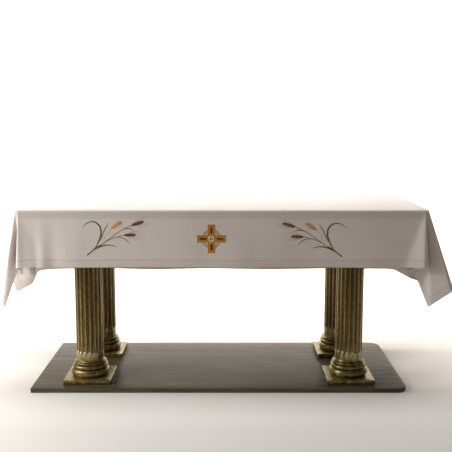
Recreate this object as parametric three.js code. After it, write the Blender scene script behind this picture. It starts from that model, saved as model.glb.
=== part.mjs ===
// Altar cloth of one piece, draped over a long altar table on four fluted columns.
// Millimetres. X runs along the altar, the congregation stands at -Y, Z is up.
// The origin is the centre of the underside of the base slab.
import * as THREE from "three";

const GAP = 0.3;

// The slab has square corners at its left end and rounded ones at its right end.
const SLAB = { length: 2060, depth: 860, height: 25, leftRadius: 6, rightRadius: 60, edgeRadius: 3 };

// The top, and the cloth with it, sits a little to the right of the columns.
const TABLE = {
  length: 2188,
  depth: 850,
  thickness: 45,
  cornerRadius: 40,
  edgeRadius: 8,
  topZ: 1003,
  shiftX: 17,
};

const COLUMN = {
  acrossX: 731,
  acrossY: 240,
  radius: 76.4,
  flutes: 18,
  fluteDepth: 7,
  landShare: 0.26,
  fluteEndHeight: 159,
  fluteFade: 16,
  halfwayDepth: 0.75,
};

const PLINTH = { side: 262, height: 24.5, cornerRadius: 3, edgeRadius: 1.5 };
const BASE = { height: 99, roundness: 15, arcSteps: 3, arcShare: 0.98 };
const SEGMENTS_AROUND = 20;
const CAPITAL = { height: 58, side: 196, abacusHeight: 18, cornerRadius: 3, edgeRadius: 1.5 };

// Neck of a capital: how far it stands out from the shaft at a share of its height.
const CAPITAL_NECK = [
  { out: 0, share: 0 },
  { out: 1, share: 0.35 },
  { out: 9, share: 0.5 },
  { out: 18, share: 1 },
];

// Step from the top ring of a base to the shaft: radius and height above that ring.
const BASE_STEP = [
  { radius: 84, height: 1 },
  { radius: 79, height: 12 },
];

// Rings of the base from the bottom up: the radius each one swells to and its height.
const BASE_RINGS = [
  { radius: 107, height: 42 },
  { radius: 99, height: 24 },
  { radius: 91, height: 16 },
];

const CLOTH = {
  thickness: 1.2,
  sideGap: 3.5,
  cornerRadius: 24,
  frontDrop: 306,
  rearDrop: 488,
  sideDrop: 424,
};

// Drop below the table edge at which the fold tables give the cross-section.
const FOLD_DROP = 350;

// Width of cloth that each crease of a corner is rounded over, at the same drop.
const CREASE_WIDTH = 18;

// Cross-section of each corner's fall, from the long panel to the side panel.
// side: distance past the side panel; face: distance past the front or rear panel.
const FRONT_RIGHT_FOLDS = [
  { side: -190, face: 0 },
  { side: -140, face: 5 },
  { side: -36, face: 52 },
  { side: -20, face: 52 },
  { side: 8, face: 16 },
  { side: 6, face: 0 },
  { side: -60, face: -84 },
  { side: -58, face: -108 },
  { side: -34, face: -106 },
  { side: 10, face: -4 },
  { side: 98, face: 24 },
  { side: 112, face: 6 },
  { side: 56, face: -84 },
  { side: 62, face: -110 },
  { side: 84, face: -150 },
  { side: 74, face: -170 },
  { side: 14, face: -200 },
  { side: 2, face: -240 },
  { side: 0, face: -310 },
];

const FRONT_LEFT_FOLDS = [
  { side: -170, face: 0 },
  { side: -60, face: 12 },
  { side: -10, face: 24 },
  { side: 4, face: 12 },
  { side: -2, face: -90 },
  { side: 14, face: -112 },
  { side: 31, face: -94 },
  { side: 45, face: -2 },
  { side: 57, face: 4 },
  { side: 67, face: -16 },
  { side: 92, face: -130 },
  { side: 80, face: -152 },
  { side: 18, face: -174 },
  { side: 14, face: -194 },
  { side: 66, face: -230 },
  { side: 58, face: -252 },
  { side: 4, face: -282 },
  { side: 0, face: -330 },
];

const REAR_RIGHT_FOLDS = [
  { side: -140, face: 0 },
  { side: -14, face: 8 },
  { side: 2, face: -6 },
  { side: 44, face: -122 },
  { side: 60, face: -134 },
  { side: 82, face: -120 },
  { side: 134, face: 8 },
  { side: 150, face: 12 },
  { side: 156, face: -8 },
  { side: 112, face: -140 },
  { side: 116, face: -162 },
  { side: 136, face: -186 },
  { side: 124, face: -208 },
  { side: 24, face: -222 },
  { side: 16, face: -244 },
  { side: 36, face: -290 },
  { side: 0, face: -350 },
];

const REAR_LEFT_FOLDS = [
  { side: -140, face: 0 },
  { side: -8, face: 6 },
  { side: 55, face: 12 },
  { side: 64, face: 0 },
  { side: 59, face: -68 },
  { side: 67, face: -82 },
  { side: 130, face: -122 },
  { side: 144, face: -114 },
  { side: 150, face: -50 },
  { side: 166, face: -56 },
  { side: 152, face: -170 },
  { side: 132, face: -190 },
  { side: 20, face: -206 },
  { side: 14, face: -226 },
  { side: 46, face: -272 },
  { side: 40, face: -292 },
  { side: 0, face: -350 },
];

// Soft swells of the hanging panels: where each one is along its panel, how wide, and how far it
// stands out at the hem.
const FRONT_SWELLS = [
  { at: -995, width: 26, out: -7 },
  { at: -960, width: 30, out: 9 },
  { at: -900, width: 40, out: -5 },
  { at: -780, width: 70, out: 5 },
  { at: -420, width: 150, out: -5 },
  { at: 60, width: 170, out: 6 },
  { at: 470, width: 140, out: -5 },
  { at: 800, width: 110, out: 6 },
];

const REAR_SWELLS = [
  { at: -760, width: 120, out: 16 },
  { at: -430, width: 110, out: -12 },
  { at: -90, width: 130, out: 14 },
  { at: 290, width: 120, out: -12 },
  { at: 700, width: 130, out: 15 },
];

const SIDE_SWELLS = [
  { at: -60, width: 70, out: -10 },
  { at: 120, width: 80, out: 12 },
];

const FINISH = {
  linen: { color: 0xe9e2d8, roughness: 0.85, metalness: 0 },
  brass: { color: 0x6b5a2c, roughness: 0.42, metalness: 0.9 },
  stone: { color: 0x4f4a34, roughness: 0.22, metalness: 0 },
  timber: { color: 0x6b4a2c, roughness: 0.6, metalness: 0 },
};

const altar = new THREE.Group();

function addPiece(name, geometry, finish, place = [0, 0, 0]) {
  const mesh = new THREE.Mesh(geometry, new THREE.MeshStandardMaterial(FINISH[finish]));
  mesh.name = name;
  mesh.position.set(...place);
  altar.add(mesh);
}

// Closed surface from a list of [x, y, z] points and a list of point triples.
function surfaceOf(points, triples) {
  const geometry = new THREE.BufferGeometry();
  geometry.setAttribute("position", new THREE.Float32BufferAttribute(points.flat(), 3));
  geometry.setIndex(triples.flat());
  return geometry;
}

function roundedRectangle(length, depth, leftRadius, rightRadius) {
  const x = length / 2;
  const y = depth / 2;
  const right = x - rightRadius;
  const left = -x + leftRadius;
  const outline = new THREE.Shape();
  outline.moveTo(left, -y);
  outline.lineTo(right, -y);
  outline.absarc(right, -y + rightRadius, rightRadius, -Math.PI / 2, 0);
  outline.lineTo(x, y - rightRadius);
  outline.absarc(right, y - rightRadius, rightRadius, 0, Math.PI / 2);
  outline.lineTo(left, y);
  outline.absarc(left, y - leftRadius, leftRadius, Math.PI / 2, Math.PI);
  outline.lineTo(-x, -y + leftRadius);
  outline.absarc(left, -y + leftRadius, leftRadius, Math.PI, Math.PI * 1.5);
  return outline;
}

// Plate with rounded edges, its underside at z = 0. Its corners are { left, right } radii.
function plate(length, depth, height, corners, edgeRadius, edgeSteps, cornerSteps) {
  const inset = 2 * edgeRadius;
  const left = corners.left - edgeRadius;
  const right = corners.right - edgeRadius;
  const outline = roundedRectangle(length - inset, depth - inset, left, right);
  const geometry = new THREE.ExtrudeGeometry(outline, {
    depth: height - inset,
    curveSegments: cornerSteps,
    bevelEnabled: true,
    bevelThickness: edgeRadius,
    bevelSize: edgeRadius,
    bevelSegments: edgeSteps,
  });
  return geometry.translate(0, 0, edgeRadius);
}

const squarePlate = ({ side, cornerRadius, edgeRadius }, height) =>
  plate(side, side, height, { left: cornerRadius, right: cornerRadius }, edgeRadius, 1, 1);

// Solid of revolution about Z from [radius, height] pairs that start and end on the axis.
function turned(profile, segments) {
  const outline = profile.map(([radius, height]) => new THREE.Vector2(radius, height));
  return new THREE.LatheGeometry(outline, segments).rotateX(Math.PI / 2);
}

const smooth = (t) => {
  const k = Math.min(1, Math.max(0, t));
  return k * k * (3 - 2 * k);
};

// Fluted shaft: rings of points whose radius dips into each flute, with plain ends.
function flutedShaft(height, fluteStart) {
  const pointsPerFlute = 4;
  const around = COLUMN.flutes * pointsPerFlute;
  const fade = COLUMN.fluteFade;
  const rows = [
    { z: 0, depth: 0 },
    { z: fluteStart, depth: 0 },
    { z: fluteStart + fade / 2, depth: COLUMN.halfwayDepth },
    { z: fluteStart + fade, depth: 1 },
    { z: height - 2 * fade, depth: 1 },
    { z: height - fade, depth: 0 },
    { z: height, depth: 0 },
  ];
  const land = COLUMN.landShare;
  const shares = [0, land, land + (1 - land) / 3, land + ((1 - land) * 2) / 3];
  const points = [];
  const triples = [];
  for (const { z, depth } of rows) {
    for (let i = 0; i < around; i++) {
      const flute = Math.floor(i / pointsPerFlute);
      const step = i % pointsPerFlute;
      const inFlute = step >= 2;
      const radius = COLUMN.radius - (inFlute ? COLUMN.fluteDepth * depth : 0);
      const angle = ((flute + shares[step]) / COLUMN.flutes) * 2 * Math.PI;
      points.push([radius * Math.cos(angle), radius * Math.sin(angle), z]);
    }
  }
  const below = points.push([0, 0, 0]) - 1;
  const above = points.push([0, 0, height]) - 1;
  const last = (rows.length - 1) * around;
  for (let i = 0; i < around; i++) {
    const next = (i + 1) % around;
    for (let row = 0; row + 1 < rows.length; row++) {
      const low = row * around;
      const high = low + around;
      triples.push([low + i, low + next, high + next], [low + i, high + next, high + i]);
    }
    triples.push([below, next, i], [above, last + i, last + next]);
  }
  return surfaceOf(points, triples);
}

function columnBase() {
  const profile = [[0, 0]];
  let z = 0;
  for (const ring of BASE_RINGS) {
    const half = ring.height / 2;
    for (let i = 0; i <= BASE.arcSteps; i++) {
      const angle = -Math.PI / 2 + (Math.PI * i) / BASE.arcSteps;
      const swell = BASE.roundness * (Math.cos(angle) - 1);
      profile.push([ring.radius + swell, z + half + half * BASE.arcShare * Math.sin(angle)]);
    }
    z += ring.height;
  }
  for (const step of BASE_STEP) profile.push([step.radius, z + step.height]);
  profile.push([COLUMN.radius, BASE.height], [0, BASE.height]);
  return turned(profile, SEGMENTS_AROUND);
}

function capital() {
  const neck = CAPITAL.height - CAPITAL.abacusHeight;
  const outline = CAPITAL_NECK.map(({ out, share }) => [COLUMN.radius + out, neck * share]);
  return turned([[0, 0], ...outline, [0, neck]], SEGMENTS_AROUND);
}

function addColumn(name, x, y) {
  const plinthZ = SLAB.height + GAP;
  const baseZ = plinthZ + PLINTH.height + GAP;
  const shaftZ = baseZ + BASE.height + GAP;
  const tableZ = TABLE.topZ - TABLE.thickness;
  const abacusZ = tableZ - GAP - CAPITAL.abacusHeight;
  const capitalZ = abacusZ - GAP - (CAPITAL.height - CAPITAL.abacusHeight);
  const shaftHeight = capitalZ - GAP - shaftZ;
  const fluteStart = SLAB.height + COLUMN.fluteEndHeight - shaftZ;
  const plinth = squarePlate(PLINTH, PLINTH.height);
  const abacus = squarePlate(CAPITAL, CAPITAL.abacusHeight);
  addPiece(name + "_plinth", plinth, "brass", [x, y, plinthZ]);
  addPiece(name + "_base", columnBase(), "brass", [x, y, baseZ]);
  addPiece(name + "_shaft", flutedShaft(shaftHeight, fluteStart), "brass", [x, y, shaftZ]);
  addPiece(name + "_capital", capital(), "brass", [x, y, capitalZ]);
  addPiece(name + "_abacus", abacus, "brass", [x, y, abacusZ]);
}

// The rim is the line, just outside the table edge, from which the cloth hangs.
const clothTop = TABLE.topZ + GAP + CLOTH.thickness / 2;
const bendOut = TABLE.edgeRadius + CLOTH.sideGap + CLOTH.thickness / 2;
const bendDown = clothTop - (TABLE.topZ - TABLE.edgeRadius);
const RIM = {
  x: TABLE.length / 2 + CLOTH.sideGap + CLOTH.thickness / 2,
  y: TABLE.depth / 2 + CLOTH.sideGap + CLOTH.thickness / 2,
  z: clothTop - bendDown,
  radius: CLOTH.cornerRadius,
};

// Drop of each panel below the rim.
const hang = (drop) => drop - bendDown;

// Corner of the fall: panel drops and the fold table as a path of cloth.
function makeCorner(hand, facing, folds, longSwells, longDrop, sideDrop) {
  const startRun = -folds[0].side - RIM.radius;
  const endRun = -folds[folds.length - 1].face - RIM.radius;
  const fan = ((RIM.radius + FOLD_DROP) * Math.PI) / 2;
  const lengths = [0];
  for (let i = 1; i < folds.length; i++) {
    const step = Math.hypot(folds[i].side - folds[i - 1].side, folds[i].face - folds[i - 1].face);
    lengths.push(lengths[i - 1] + step);
  }
  const pathLength = lengths[lengths.length - 1];
  const clothLength = startRun + fan + endRun;
  const long = hang(longDrop);
  const side = hang(sideDrop);
  const stretch = pathLength / clothLength;
  return { hand, facing, folds, longSwells, lengths, startRun, endRun, fan, long, side, stretch };
}

function onPath(corner, distance) {
  const { folds, lengths } = corner;
  let i = 1;
  while (i < lengths.length - 1 && lengths[i] < distance) i++;
  const share = (distance - lengths[i - 1]) / (lengths[i] - lengths[i - 1]);
  const a = folds[i - 1];
  const b = folds[i];
  return [a.side + (b.side - a.side) * share, a.face + (b.face - a.face) * share];
}

// Point of the folded cross-section for a place m along the cloth, with rounded creases.
function foldedPoint(corner, m) {
  const at = (m + corner.startRun) * corner.stretch;
  const samples = 5;
  let side = 0;
  let face = 0;
  for (let i = 0; i < samples; i++) {
    const [s, f] = onPath(corner, at + CREASE_WIDTH * (i / (samples - 1) - 0.5));
    side += s / samples;
    face += f / samples;
  }
  return [side, face];
}

// The folds only reach in under the table once they hang clear of its edge: the share of their
// reach at the top, and the drops between which it grows to the whole.
const REACH_IN = { atTop: 0.45, fromDrop: 45, overDrop: 110 };

function reachIn(value, drop) {
  if (value >= 0) return value;
  const { atTop, fromDrop, overDrop } = REACH_IN;
  return value * (atTop + (1 - atTop) * smooth((drop - fromDrop) / overDrop));
}

// Hanging point from a ray of cloth: apex on the rim, folded direction and the length hung.
function hangFrom(apex, target, drop, length) {
  const grow = drop / FOLD_DROP;
  const side = apex[0] + (target[0] - apex[0]) * grow;
  const face = apex[1] + reachIn((target[1] - apex[1]) * grow, drop);
  const run = Math.hypot(side - apex[0], face - apex[1]);
  const fall = Math.sqrt(Math.max(0, length * length - run * run));
  return [side, face, -fall];
}

// Corner point at angle phi (0 at the long panel, a quarter turn at the side panel).
function fanPoint(corner, phi, drop) {
  const r = RIM.radius;
  const apex = [r * (Math.sin(phi) - 1), r * (Math.cos(phi) - 1)];
  const target = foldedPoint(corner, (r + FOLD_DROP) * phi);
  return hangFrom(apex, target, drop, drop);
}

// Length of cloth from the rim to the hem along the ray at angle phi.
function fanLength(corner, phi) {
  const r = RIM.radius;
  const alongLong = (r + corner.long) / Math.max(Math.cos(phi), 1e-9);
  const alongSide = (r + corner.side) / Math.max(Math.sin(phi), 1e-9);
  return Math.min(alongLong, alongSide) - r;
}

// Point of a long panel at a distance from the corner, pulled along by the corner's folds.
function longPanelPoint(corner, distance, drop) {
  const apex = [-RIM.radius, 0];
  const m = drop > 0 ? (-distance * FOLD_DROP) / drop : -Infinity;
  if (m < -corner.startRun) return [apex[0] - distance, 0, -drop];
  return hangFrom(apex, foldedPoint(corner, m), drop, Math.hypot(distance, drop));
}

function sidePanelPoint(corner, distance, drop) {
  const apex = [0, -RIM.radius];
  const m = drop > 0 ? (distance * FOLD_DROP) / drop : Infinity;
  if (m > corner.endRun) return [0, apex[1] - distance, -drop];
  return hangFrom(apex, foldedPoint(corner, corner.fan + m), drop, Math.hypot(distance, drop));
}

const CORNERS = {
  frontRight: makeCorner(1, -1, FRONT_RIGHT_FOLDS, FRONT_SWELLS, CLOTH.frontDrop, CLOTH.sideDrop),
  frontLeft: makeCorner(-1, -1, FRONT_LEFT_FOLDS, FRONT_SWELLS, CLOTH.frontDrop, CLOTH.sideDrop),
  rearRight: makeCorner(1, 1, REAR_RIGHT_FOLDS, REAR_SWELLS, CLOTH.rearDrop, CLOTH.sideDrop),
  rearLeft: makeCorner(-1, 1, REAR_LEFT_FOLDS, REAR_SWELLS, CLOTH.rearDrop, CLOTH.sideDrop),
};

// Panels lean out by FLARE of their drop, and their swells grow towards the hem by this power.
const FLARE = 0.02;
const SWELL_GROWTH = 1.5;
const CALM_BY_CORNER = 160;

function swell(swells, at, drop, fullDrop) {
  const grow = Math.pow(drop / fullDrop, SWELL_GROWTH);
  let out = FLARE * drop;
  for (const s of swells) out += s.out * grow * Math.exp(-(((at - s.at) / s.width) ** 2));
  return out;
}

// Share of a panel's own swells that is left near its corners.
const awayFromCorner = (distance) => smooth(distance / CALM_BY_CORNER);

const BEND_STEPS = 3;
const DROP_SHARES = [0.08, 0.17, 0.3, 0.45, 0.62, 0.8, 1];

// Local point of a corner (past the side panel, past the long panel, below the rim) in the part.
function placed(corner, [side, face, z]) {
  return [corner.hand * (RIM.x + side), corner.facing * (RIM.y + face), RIM.z + z];
}

// One column of cloth points from the flat top over the edge to the hem. apex is the column's
// place on the rim, normal its outward direction there and at() gives the point at a drop.
function clothColumn(corner, apex, normal, fullDrop, at) {
  const column = [];
  for (let i = 0; i < BEND_STEPS; i++) {
    const angle = (Math.PI / 2) * (i / BEND_STEPS);
    const inward = bendOut * (1 - Math.sin(angle));
    const above = bendDown * Math.cos(angle);
    column.push([apex[0] - normal[0] * inward, apex[1] - normal[1] * inward, above]);
  }
  for (const share of [0, ...DROP_SHARES]) column.push(at(share * fullDrop));
  return column.map((point) => placed(corner, point));
}

function fanColumn(corner, phi) {
  const normal = [Math.sin(phi), Math.cos(phi)];
  const apex = normal.map((n) => RIM.radius * (n - 1));
  return clothColumn(corner, apex, normal, fanLength(corner, phi), (drop) => fanPoint(corner, phi, drop));
}

function longColumn(corner, distance) {
  const apex = [-RIM.radius - distance, 0];
  const x = corner.hand * (RIM.x + apex[0]);
  return clothColumn(corner, apex, [0, 1], corner.long, (drop) => {
    const [side, face, z] = longPanelPoint(corner, distance, drop);
    const out = swell(corner.longSwells, x, drop, corner.long) * awayFromCorner(distance);
    return [side, face + out, z];
  });
}

function sideColumn(corner, distance) {
  const apex = [0, -RIM.radius - distance];
  const y = corner.facing * (RIM.y + apex[1]);
  return clothColumn(corner, apex, [1, 0], corner.side, (drop) => {
    const [side, face, z] = sidePanelPoint(corner, distance, drop);
    const out = swell(SIDE_SWELLS, y, drop, corner.side) * awayFromCorner(distance);
    return [side + out, face, z];
  });
}

const PLACES_BY_CORNER = [0, 22, 54, 98, 155, 225];
const WIDEST = { long: 145, side: 90, fan: 42 };
const FAN_MARGIN = 0.02;

// Distances from a corner to the middle of a panel, closer together near the corner.
function panelPlaces(halfLength, widest) {
  const places = [...PLACES_BY_CORNER];
  const nearest = places[places.length - 1];
  const count = Math.round((halfLength - nearest) / widest);
  for (let i = 1; i <= count; i++) places.push(nearest + ((halfLength - nearest) * i) / count);
  return places;
}

// Angles of a corner's columns: one at each row of its fold table, more between distant rows,
// and one at the cloth's own corner.
function fanAngles(corner) {
  const angles = [Math.atan2(RIM.radius + corner.side, RIM.radius + corner.long)];
  corner.lengths.forEach((length, i) => {
    const next = corner.lengths[i + 1] ?? length;
    const pieces = Math.max(1, Math.ceil((next - length) / WIDEST.fan));
    for (let k = 0; k < pieces; k++) {
      const along = length + ((next - length) * k) / pieces;
      angles.push((along / corner.stretch - corner.startRun) / (RIM.radius + FOLD_DROP));
    }
  });
  const within = (a) => a > FAN_MARGIN && a < Math.PI / 2 - FAN_MARGIN;
  const inside = angles.filter(within).sort((a, b) => a - b);
  return inside.filter((a, i) => i === 0 || a - inside[i - 1] > FAN_MARGIN / 4);
}

// Columns of the whole fall, counterclockwise from the front left corner.
function clothColumns() {
  const { frontLeft, frontRight, rearRight, rearLeft } = CORNERS;
  const longPlaces = panelPlaces(RIM.x - RIM.radius, WIDEST.long);
  const sidePlaces = panelPlaces(RIM.y - RIM.radius, WIDEST.side);
  const panel = (columnOf, places, first, second) => [
    ...places.map((distance) => columnOf(first, distance)),
    ...places.slice(0, -1).reverse().map((distance) => columnOf(second, distance)),
  ];
  const fan = (corner, angles) => angles.map((phi) => fanColumn(corner, phi));
  return [
    ...panel(longColumn, longPlaces, frontLeft, frontRight),
    ...fan(frontRight, fanAngles(frontRight)),
    ...panel(sideColumn, sidePlaces, frontRight, rearRight),
    ...fan(rearRight, fanAngles(rearRight).reverse()),
    ...panel(longColumn, longPlaces, rearRight, rearLeft),
    ...fan(rearLeft, fanAngles(rearLeft)),
    ...panel(sideColumn, sidePlaces, rearLeft, frontLeft),
    ...fan(frontLeft, fanAngles(frontLeft).reverse()),
  ];
}

// Outward direction at each point of the middle surface, from the triangles round it.
function directionsOf(columns) {
  const rows = columns[0].length;
  const directions = columns.map((column) => column.map(() => new THREE.Vector3()));
  const point = (i, j) => new THREE.Vector3(...columns[i][j]);
  columns.forEach((_, i) => {
    const next = (i + 1) % columns.length;
    for (let j = 0; j + 1 < rows; j++) {
      const diagonal = point(next, j + 1).sub(point(i, j));
      const other = point(next, j).sub(point(i, j + 1));
      const out = diagonal.cross(other).normalize();
      for (const [c, r] of [[i, j], [next, j], [i, j + 1], [next, j + 1]]) directions[c][r].add(out);
    }
  });
  directions.forEach((column) => {
    column[0].set(0, 0, 1);
    column.forEach((direction) => direction.normalize());
  });
  return directions;
}

// The cloth as one solid: its outer and inner faces on both sides of the middle surface.
function clothSolid() {
  const columns = clothColumns();
  const directions = directionsOf(columns);
  const rows = columns[0].length;
  const points = [];
  const triples = [];
  const half = CLOTH.thickness / 2;
  const faces = [half, -half].map((offset) => {
    const first = points.length;
    columns.forEach((column, i) =>
      column.forEach((p, j) => {
        const d = directions[i][j];
        points.push([p[0] + d.x * offset, p[1] + d.y * offset, p[2] + d.z * offset]);
      }),
    );
    return (i, j) => first + (i % columns.length) * rows + j;
  });
  const [outer, inner] = faces;
  const topCentre = points.push([0, 0, clothTop + half]) - 1;
  const undersideCentre = points.push([0, 0, clothTop - half]) - 1;
  const hem = rows - 1;
  for (let i = 0; i < columns.length; i++) {
    for (let j = 0; j < hem; j++) {
      triples.push([outer(i, j), outer(i, j + 1), outer(i + 1, j + 1)]);
      triples.push([outer(i, j), outer(i + 1, j + 1), outer(i + 1, j)]);
      triples.push([inner(i, j), inner(i + 1, j + 1), inner(i, j + 1)]);
      triples.push([inner(i, j), inner(i + 1, j), inner(i + 1, j + 1)]);
    }
    triples.push([outer(i, hem), inner(i, hem), inner(i + 1, hem)]);
    triples.push([outer(i, hem), inner(i + 1, hem), outer(i + 1, hem)]);
    triples.push([topCentre, outer(i, 0), outer(i + 1, 0)]);
    triples.push([undersideCentre, inner(i + 1, 0), inner(i, 0)]);
  }
  return surfaceOf(points, triples);
}

const slabCorners = { left: SLAB.leftRadius, right: SLAB.rightRadius };
const slab = plate(SLAB.length, SLAB.depth, SLAB.height, slabCorners, SLAB.edgeRadius, 1, 5);
addPiece("base_slab", slab, "stone");

for (const [end, hand] of [["left", -1], ["right", 1]]) {
  for (const [row, facing] of [["front", -1], ["rear", 1]]) {
    addColumn(row + "_" + end, hand * COLUMN.acrossX, facing * COLUMN.acrossY);
  }
}

const topCorners = { left: TABLE.cornerRadius, right: TABLE.cornerRadius };
const board = plate(TABLE.length, TABLE.depth, TABLE.thickness, topCorners, TABLE.edgeRadius, 2, 4);
addPiece("table_top", board, "timber", [TABLE.shiftX, 0, TABLE.topZ - TABLE.thickness]);

addPiece("cloth", clothSolid(), "linen", [TABLE.shiftX, 0, 0]);

altar.name = "altar_cloth_on_altar";
export default altar;
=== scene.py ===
"""Altar cloth with embroidered wheat and cross, draped over its altar table on four fluted columns."""

import math
import random

import bpy
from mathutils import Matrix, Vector, noise


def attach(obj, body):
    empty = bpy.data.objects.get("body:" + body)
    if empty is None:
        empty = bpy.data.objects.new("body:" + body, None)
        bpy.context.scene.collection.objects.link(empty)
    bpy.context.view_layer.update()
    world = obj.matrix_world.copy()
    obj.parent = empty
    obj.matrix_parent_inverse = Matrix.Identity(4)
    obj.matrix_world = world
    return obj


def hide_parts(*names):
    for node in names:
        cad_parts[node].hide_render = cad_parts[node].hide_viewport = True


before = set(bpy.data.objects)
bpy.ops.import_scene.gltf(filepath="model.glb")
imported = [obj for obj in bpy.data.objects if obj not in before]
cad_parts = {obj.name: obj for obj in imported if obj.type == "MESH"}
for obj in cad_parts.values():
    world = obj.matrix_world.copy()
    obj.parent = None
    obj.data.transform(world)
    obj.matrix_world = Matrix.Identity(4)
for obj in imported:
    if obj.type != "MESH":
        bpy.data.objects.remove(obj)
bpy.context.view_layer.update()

# Sizes below are in millimetres; MM turns them into the scene's metres.
MM = 0.001

CAMERA = {"place": (0.038, -4.4595, 1.496), "pitch": 8.13, "lens": 61.3}

TABLE = {"length": 2188, "depth": 850, "thickness": 45, "corner": 40, "edge": 8, "top": 1003, "shift": 17}
SLAB = {"length": 2060, "depth": 860, "height": 25, "left": 6, "right": 60, "edge": 3}
COLUMN = {"x": 731, "y": 240, "radius": 76.4}
# The flutes start low above the slab and end high below the shaft's top; land is the flat share.
FLUTES = {"count": 18, "depth": 7, "land": 0.26, "low": 159, "high": 14}
PLINTH = {"side": 262, "height": 24.5, "corner": 4, "edge": 2.5}
BASE = {"height": 99, "roundness": 15, "sweep": 7.6}
# Rings of the base from below: (radius, height).
BASE_RINGS = [(107, 42), (99, 24), (91, 16)]
CAPITAL = {"height": 58, "side": 196, "abacus": 18, "corner": 4, "edge": 2}
# Clearance between pieces that rest on each other.
GAP = 0.3

CLOTH = {"thickness": 1.2, "side_gap": 3.5, "corner": 24, "front": 306, "rear": 488, "side": 424}
# Distances from the edge; how the doubled cloth rises, dips at its stitches and thins.
HEM = {
    "width": 43, "stitch": 40, "double": 0.9, "rise_width": 3, "groove": 0.55, "groove_width": 1.1,
    "lip": 0.35, "lip_width": 4,
}
# Drop below the table edge at which the fold tables hold, and the cloth each crease is rounded over.
FOLD_DROP = 350
CREASE_WIDTH = 20

# Cross-section of each corner's fall as (past the side panel, past the long panel) at FOLD_DROP.
FRONT_RIGHT_FOLDS = [
    (-190, 0), (-140, 5), (-36, 52), (-20, 52), (8, 16), (6, 0), (-60, -84), (-58, -108), (-34, -106),
    (10, -4), (98, 24), (112, 6), (56, -84), (62, -110), (84, -150), (74, -170), (14, -200), (2, -240),
    (0, -310),
]
FRONT_LEFT_FOLDS = [
    (-170, 0), (-60, 12), (-10, 24), (4, 12), (-2, -90), (14, -112), (31, -94), (45, -2), (57, 4),
    (67, -16), (92, -130), (80, -152), (18, -174), (14, -194), (66, -230), (58, -252), (4, -282),
    (0, -330),
]
REAR_RIGHT_FOLDS = [
    (-140, 0), (-14, 8), (2, -6), (44, -122), (60, -134), (82, -120), (134, 8), (150, 12), (156, -8),
    (112, -140), (116, -162), (136, -186), (124, -208), (24, -222), (16, -244), (36, -290), (0, -350),
]
REAR_LEFT_FOLDS = [
    (-140, 0), (-8, 6), (55, 12), (64, 0), (59, -68), (67, -82), (130, -122), (144, -114), (150, -50),
    (166, -56), (152, -170), (132, -190), (20, -206), (14, -226), (46, -272), (40, -292), (0, -350),
]

# Soft swells of the panels: (where along the panel, how wide, how far out at the hem).
SWELLS = {
    "front": [
        (-995, 26, -7), (-960, 30, 9), (-900, 40, -5), (-780, 70, 5), (-420, 150, -5), (60, 170, 6),
        (470, 140, -5), (800, 110, 6),
    ],
    "rear": [(-760, 120, 16), (-430, 110, -12), (-90, 130, 14), (290, 120, -12), (700, 130, 15)],
    "side": [(-60, 70, -10), (120, 80, 12)],
}
# Panels lean out by FLARE of their drop. Swells grow down to the hem and are calm by a corner.
FLARE = 0.02
SWELL_GROWTH = 1.5
CALM_BY_CORNER = 160
# Unevenness of the panels: (length along, length down, shift of the pattern, size).
RIPPLES = [(150, 260, 0, 1.6), (52, 120, 7, 0.7)]
RIPPLE_START = 160
# Folds that reach in start shallow under the table edge and deepen over this drop.
REACH_IN = {"at_top": 0.45, "from_drop": 45, "over_drop": 110}
# Faint unevenness of the flat top, none near its rim.
TOP_LIFT = {"margin": 60, "mean": 0.25, "spread": 0.5, "length": 90}


# Drape of the cloth

CLOTH_TOP = TABLE["top"] + GAP + CLOTH["thickness"] / 2
BEND_OUT = TABLE["edge"] + CLOTH["side_gap"] + CLOTH["thickness"] / 2
BEND_DOWN = CLOTH_TOP - (TABLE["top"] - TABLE["edge"])
RIM_X = TABLE["length"] / 2 + CLOTH["side_gap"] + CLOTH["thickness"] / 2
RIM_Y = TABLE["depth"] / 2 + CLOTH["side_gap"] + CLOTH["thickness"] / 2
RIM_Z = CLOTH_TOP - BEND_DOWN
R = CLOTH["corner"]


def smooth(t):
    k = min(1.0, max(0.0, t))
    return k * k * (3 - 2 * k)


def bell(distance, width):
    return math.exp(-((distance / width) ** 2))


def between(a, b, share):
    """Point at this share of the way from a to b, both (x, y)."""
    return a[0] + (b[0] - a[0]) * share, a[1] + (b[1] - a[1]) * share


class Path:
    """A line through (x, y) points, read by the length along it."""

    def __init__(self, points):
        self.points, self.lengths = points, [0.0]
        for a, b in zip(points, points[1:]):
            self.lengths.append(self.lengths[-1] + math.dist(a, b))

    def at(self, length):
        i = 1
        while i < len(self.lengths) - 1 and self.lengths[i] < length:
            i += 1
        share = (length - self.lengths[i - 1]) / (self.lengths[i] - self.lengths[i - 1])
        return between(self.points[i - 1], self.points[i], share)


class Corner:
    """One corner of the fall: its fold table as a path of cloth, and the drops beside it."""

    def __init__(self, hand, facing, folds):
        self.hand, self.facing, self.path = hand, facing, Path(folds)
        row = "front" if facing < 0 else "rear"
        self.swells = SWELLS[row]
        self.start_run = -folds[0][0] - R
        self.end_run = -folds[-1][1] - R
        self.fan = (R + FOLD_DROP) * math.pi / 2
        self.stretch = self.path.lengths[-1] / (self.start_run + self.fan + self.end_run)
        self.long = CLOTH[row] - BEND_DOWN
        self.side = CLOTH["side"] - BEND_DOWN

    def folded(self, m):
        at = (m + self.start_run) * self.stretch
        samples = 9
        side = face = 0.0
        for i in range(samples):
            s, f = self.path.at(at + CREASE_WIDTH * (i / (samples - 1) - 0.5))
            side += s / samples
            face += f / samples
        return side, face


def reach_in(value, drop):
    if value >= 0:
        return value
    grown = smooth((drop - REACH_IN["from_drop"]) / REACH_IN["over_drop"])
    return value * (REACH_IN["at_top"] + (1 - REACH_IN["at_top"]) * grown)


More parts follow.
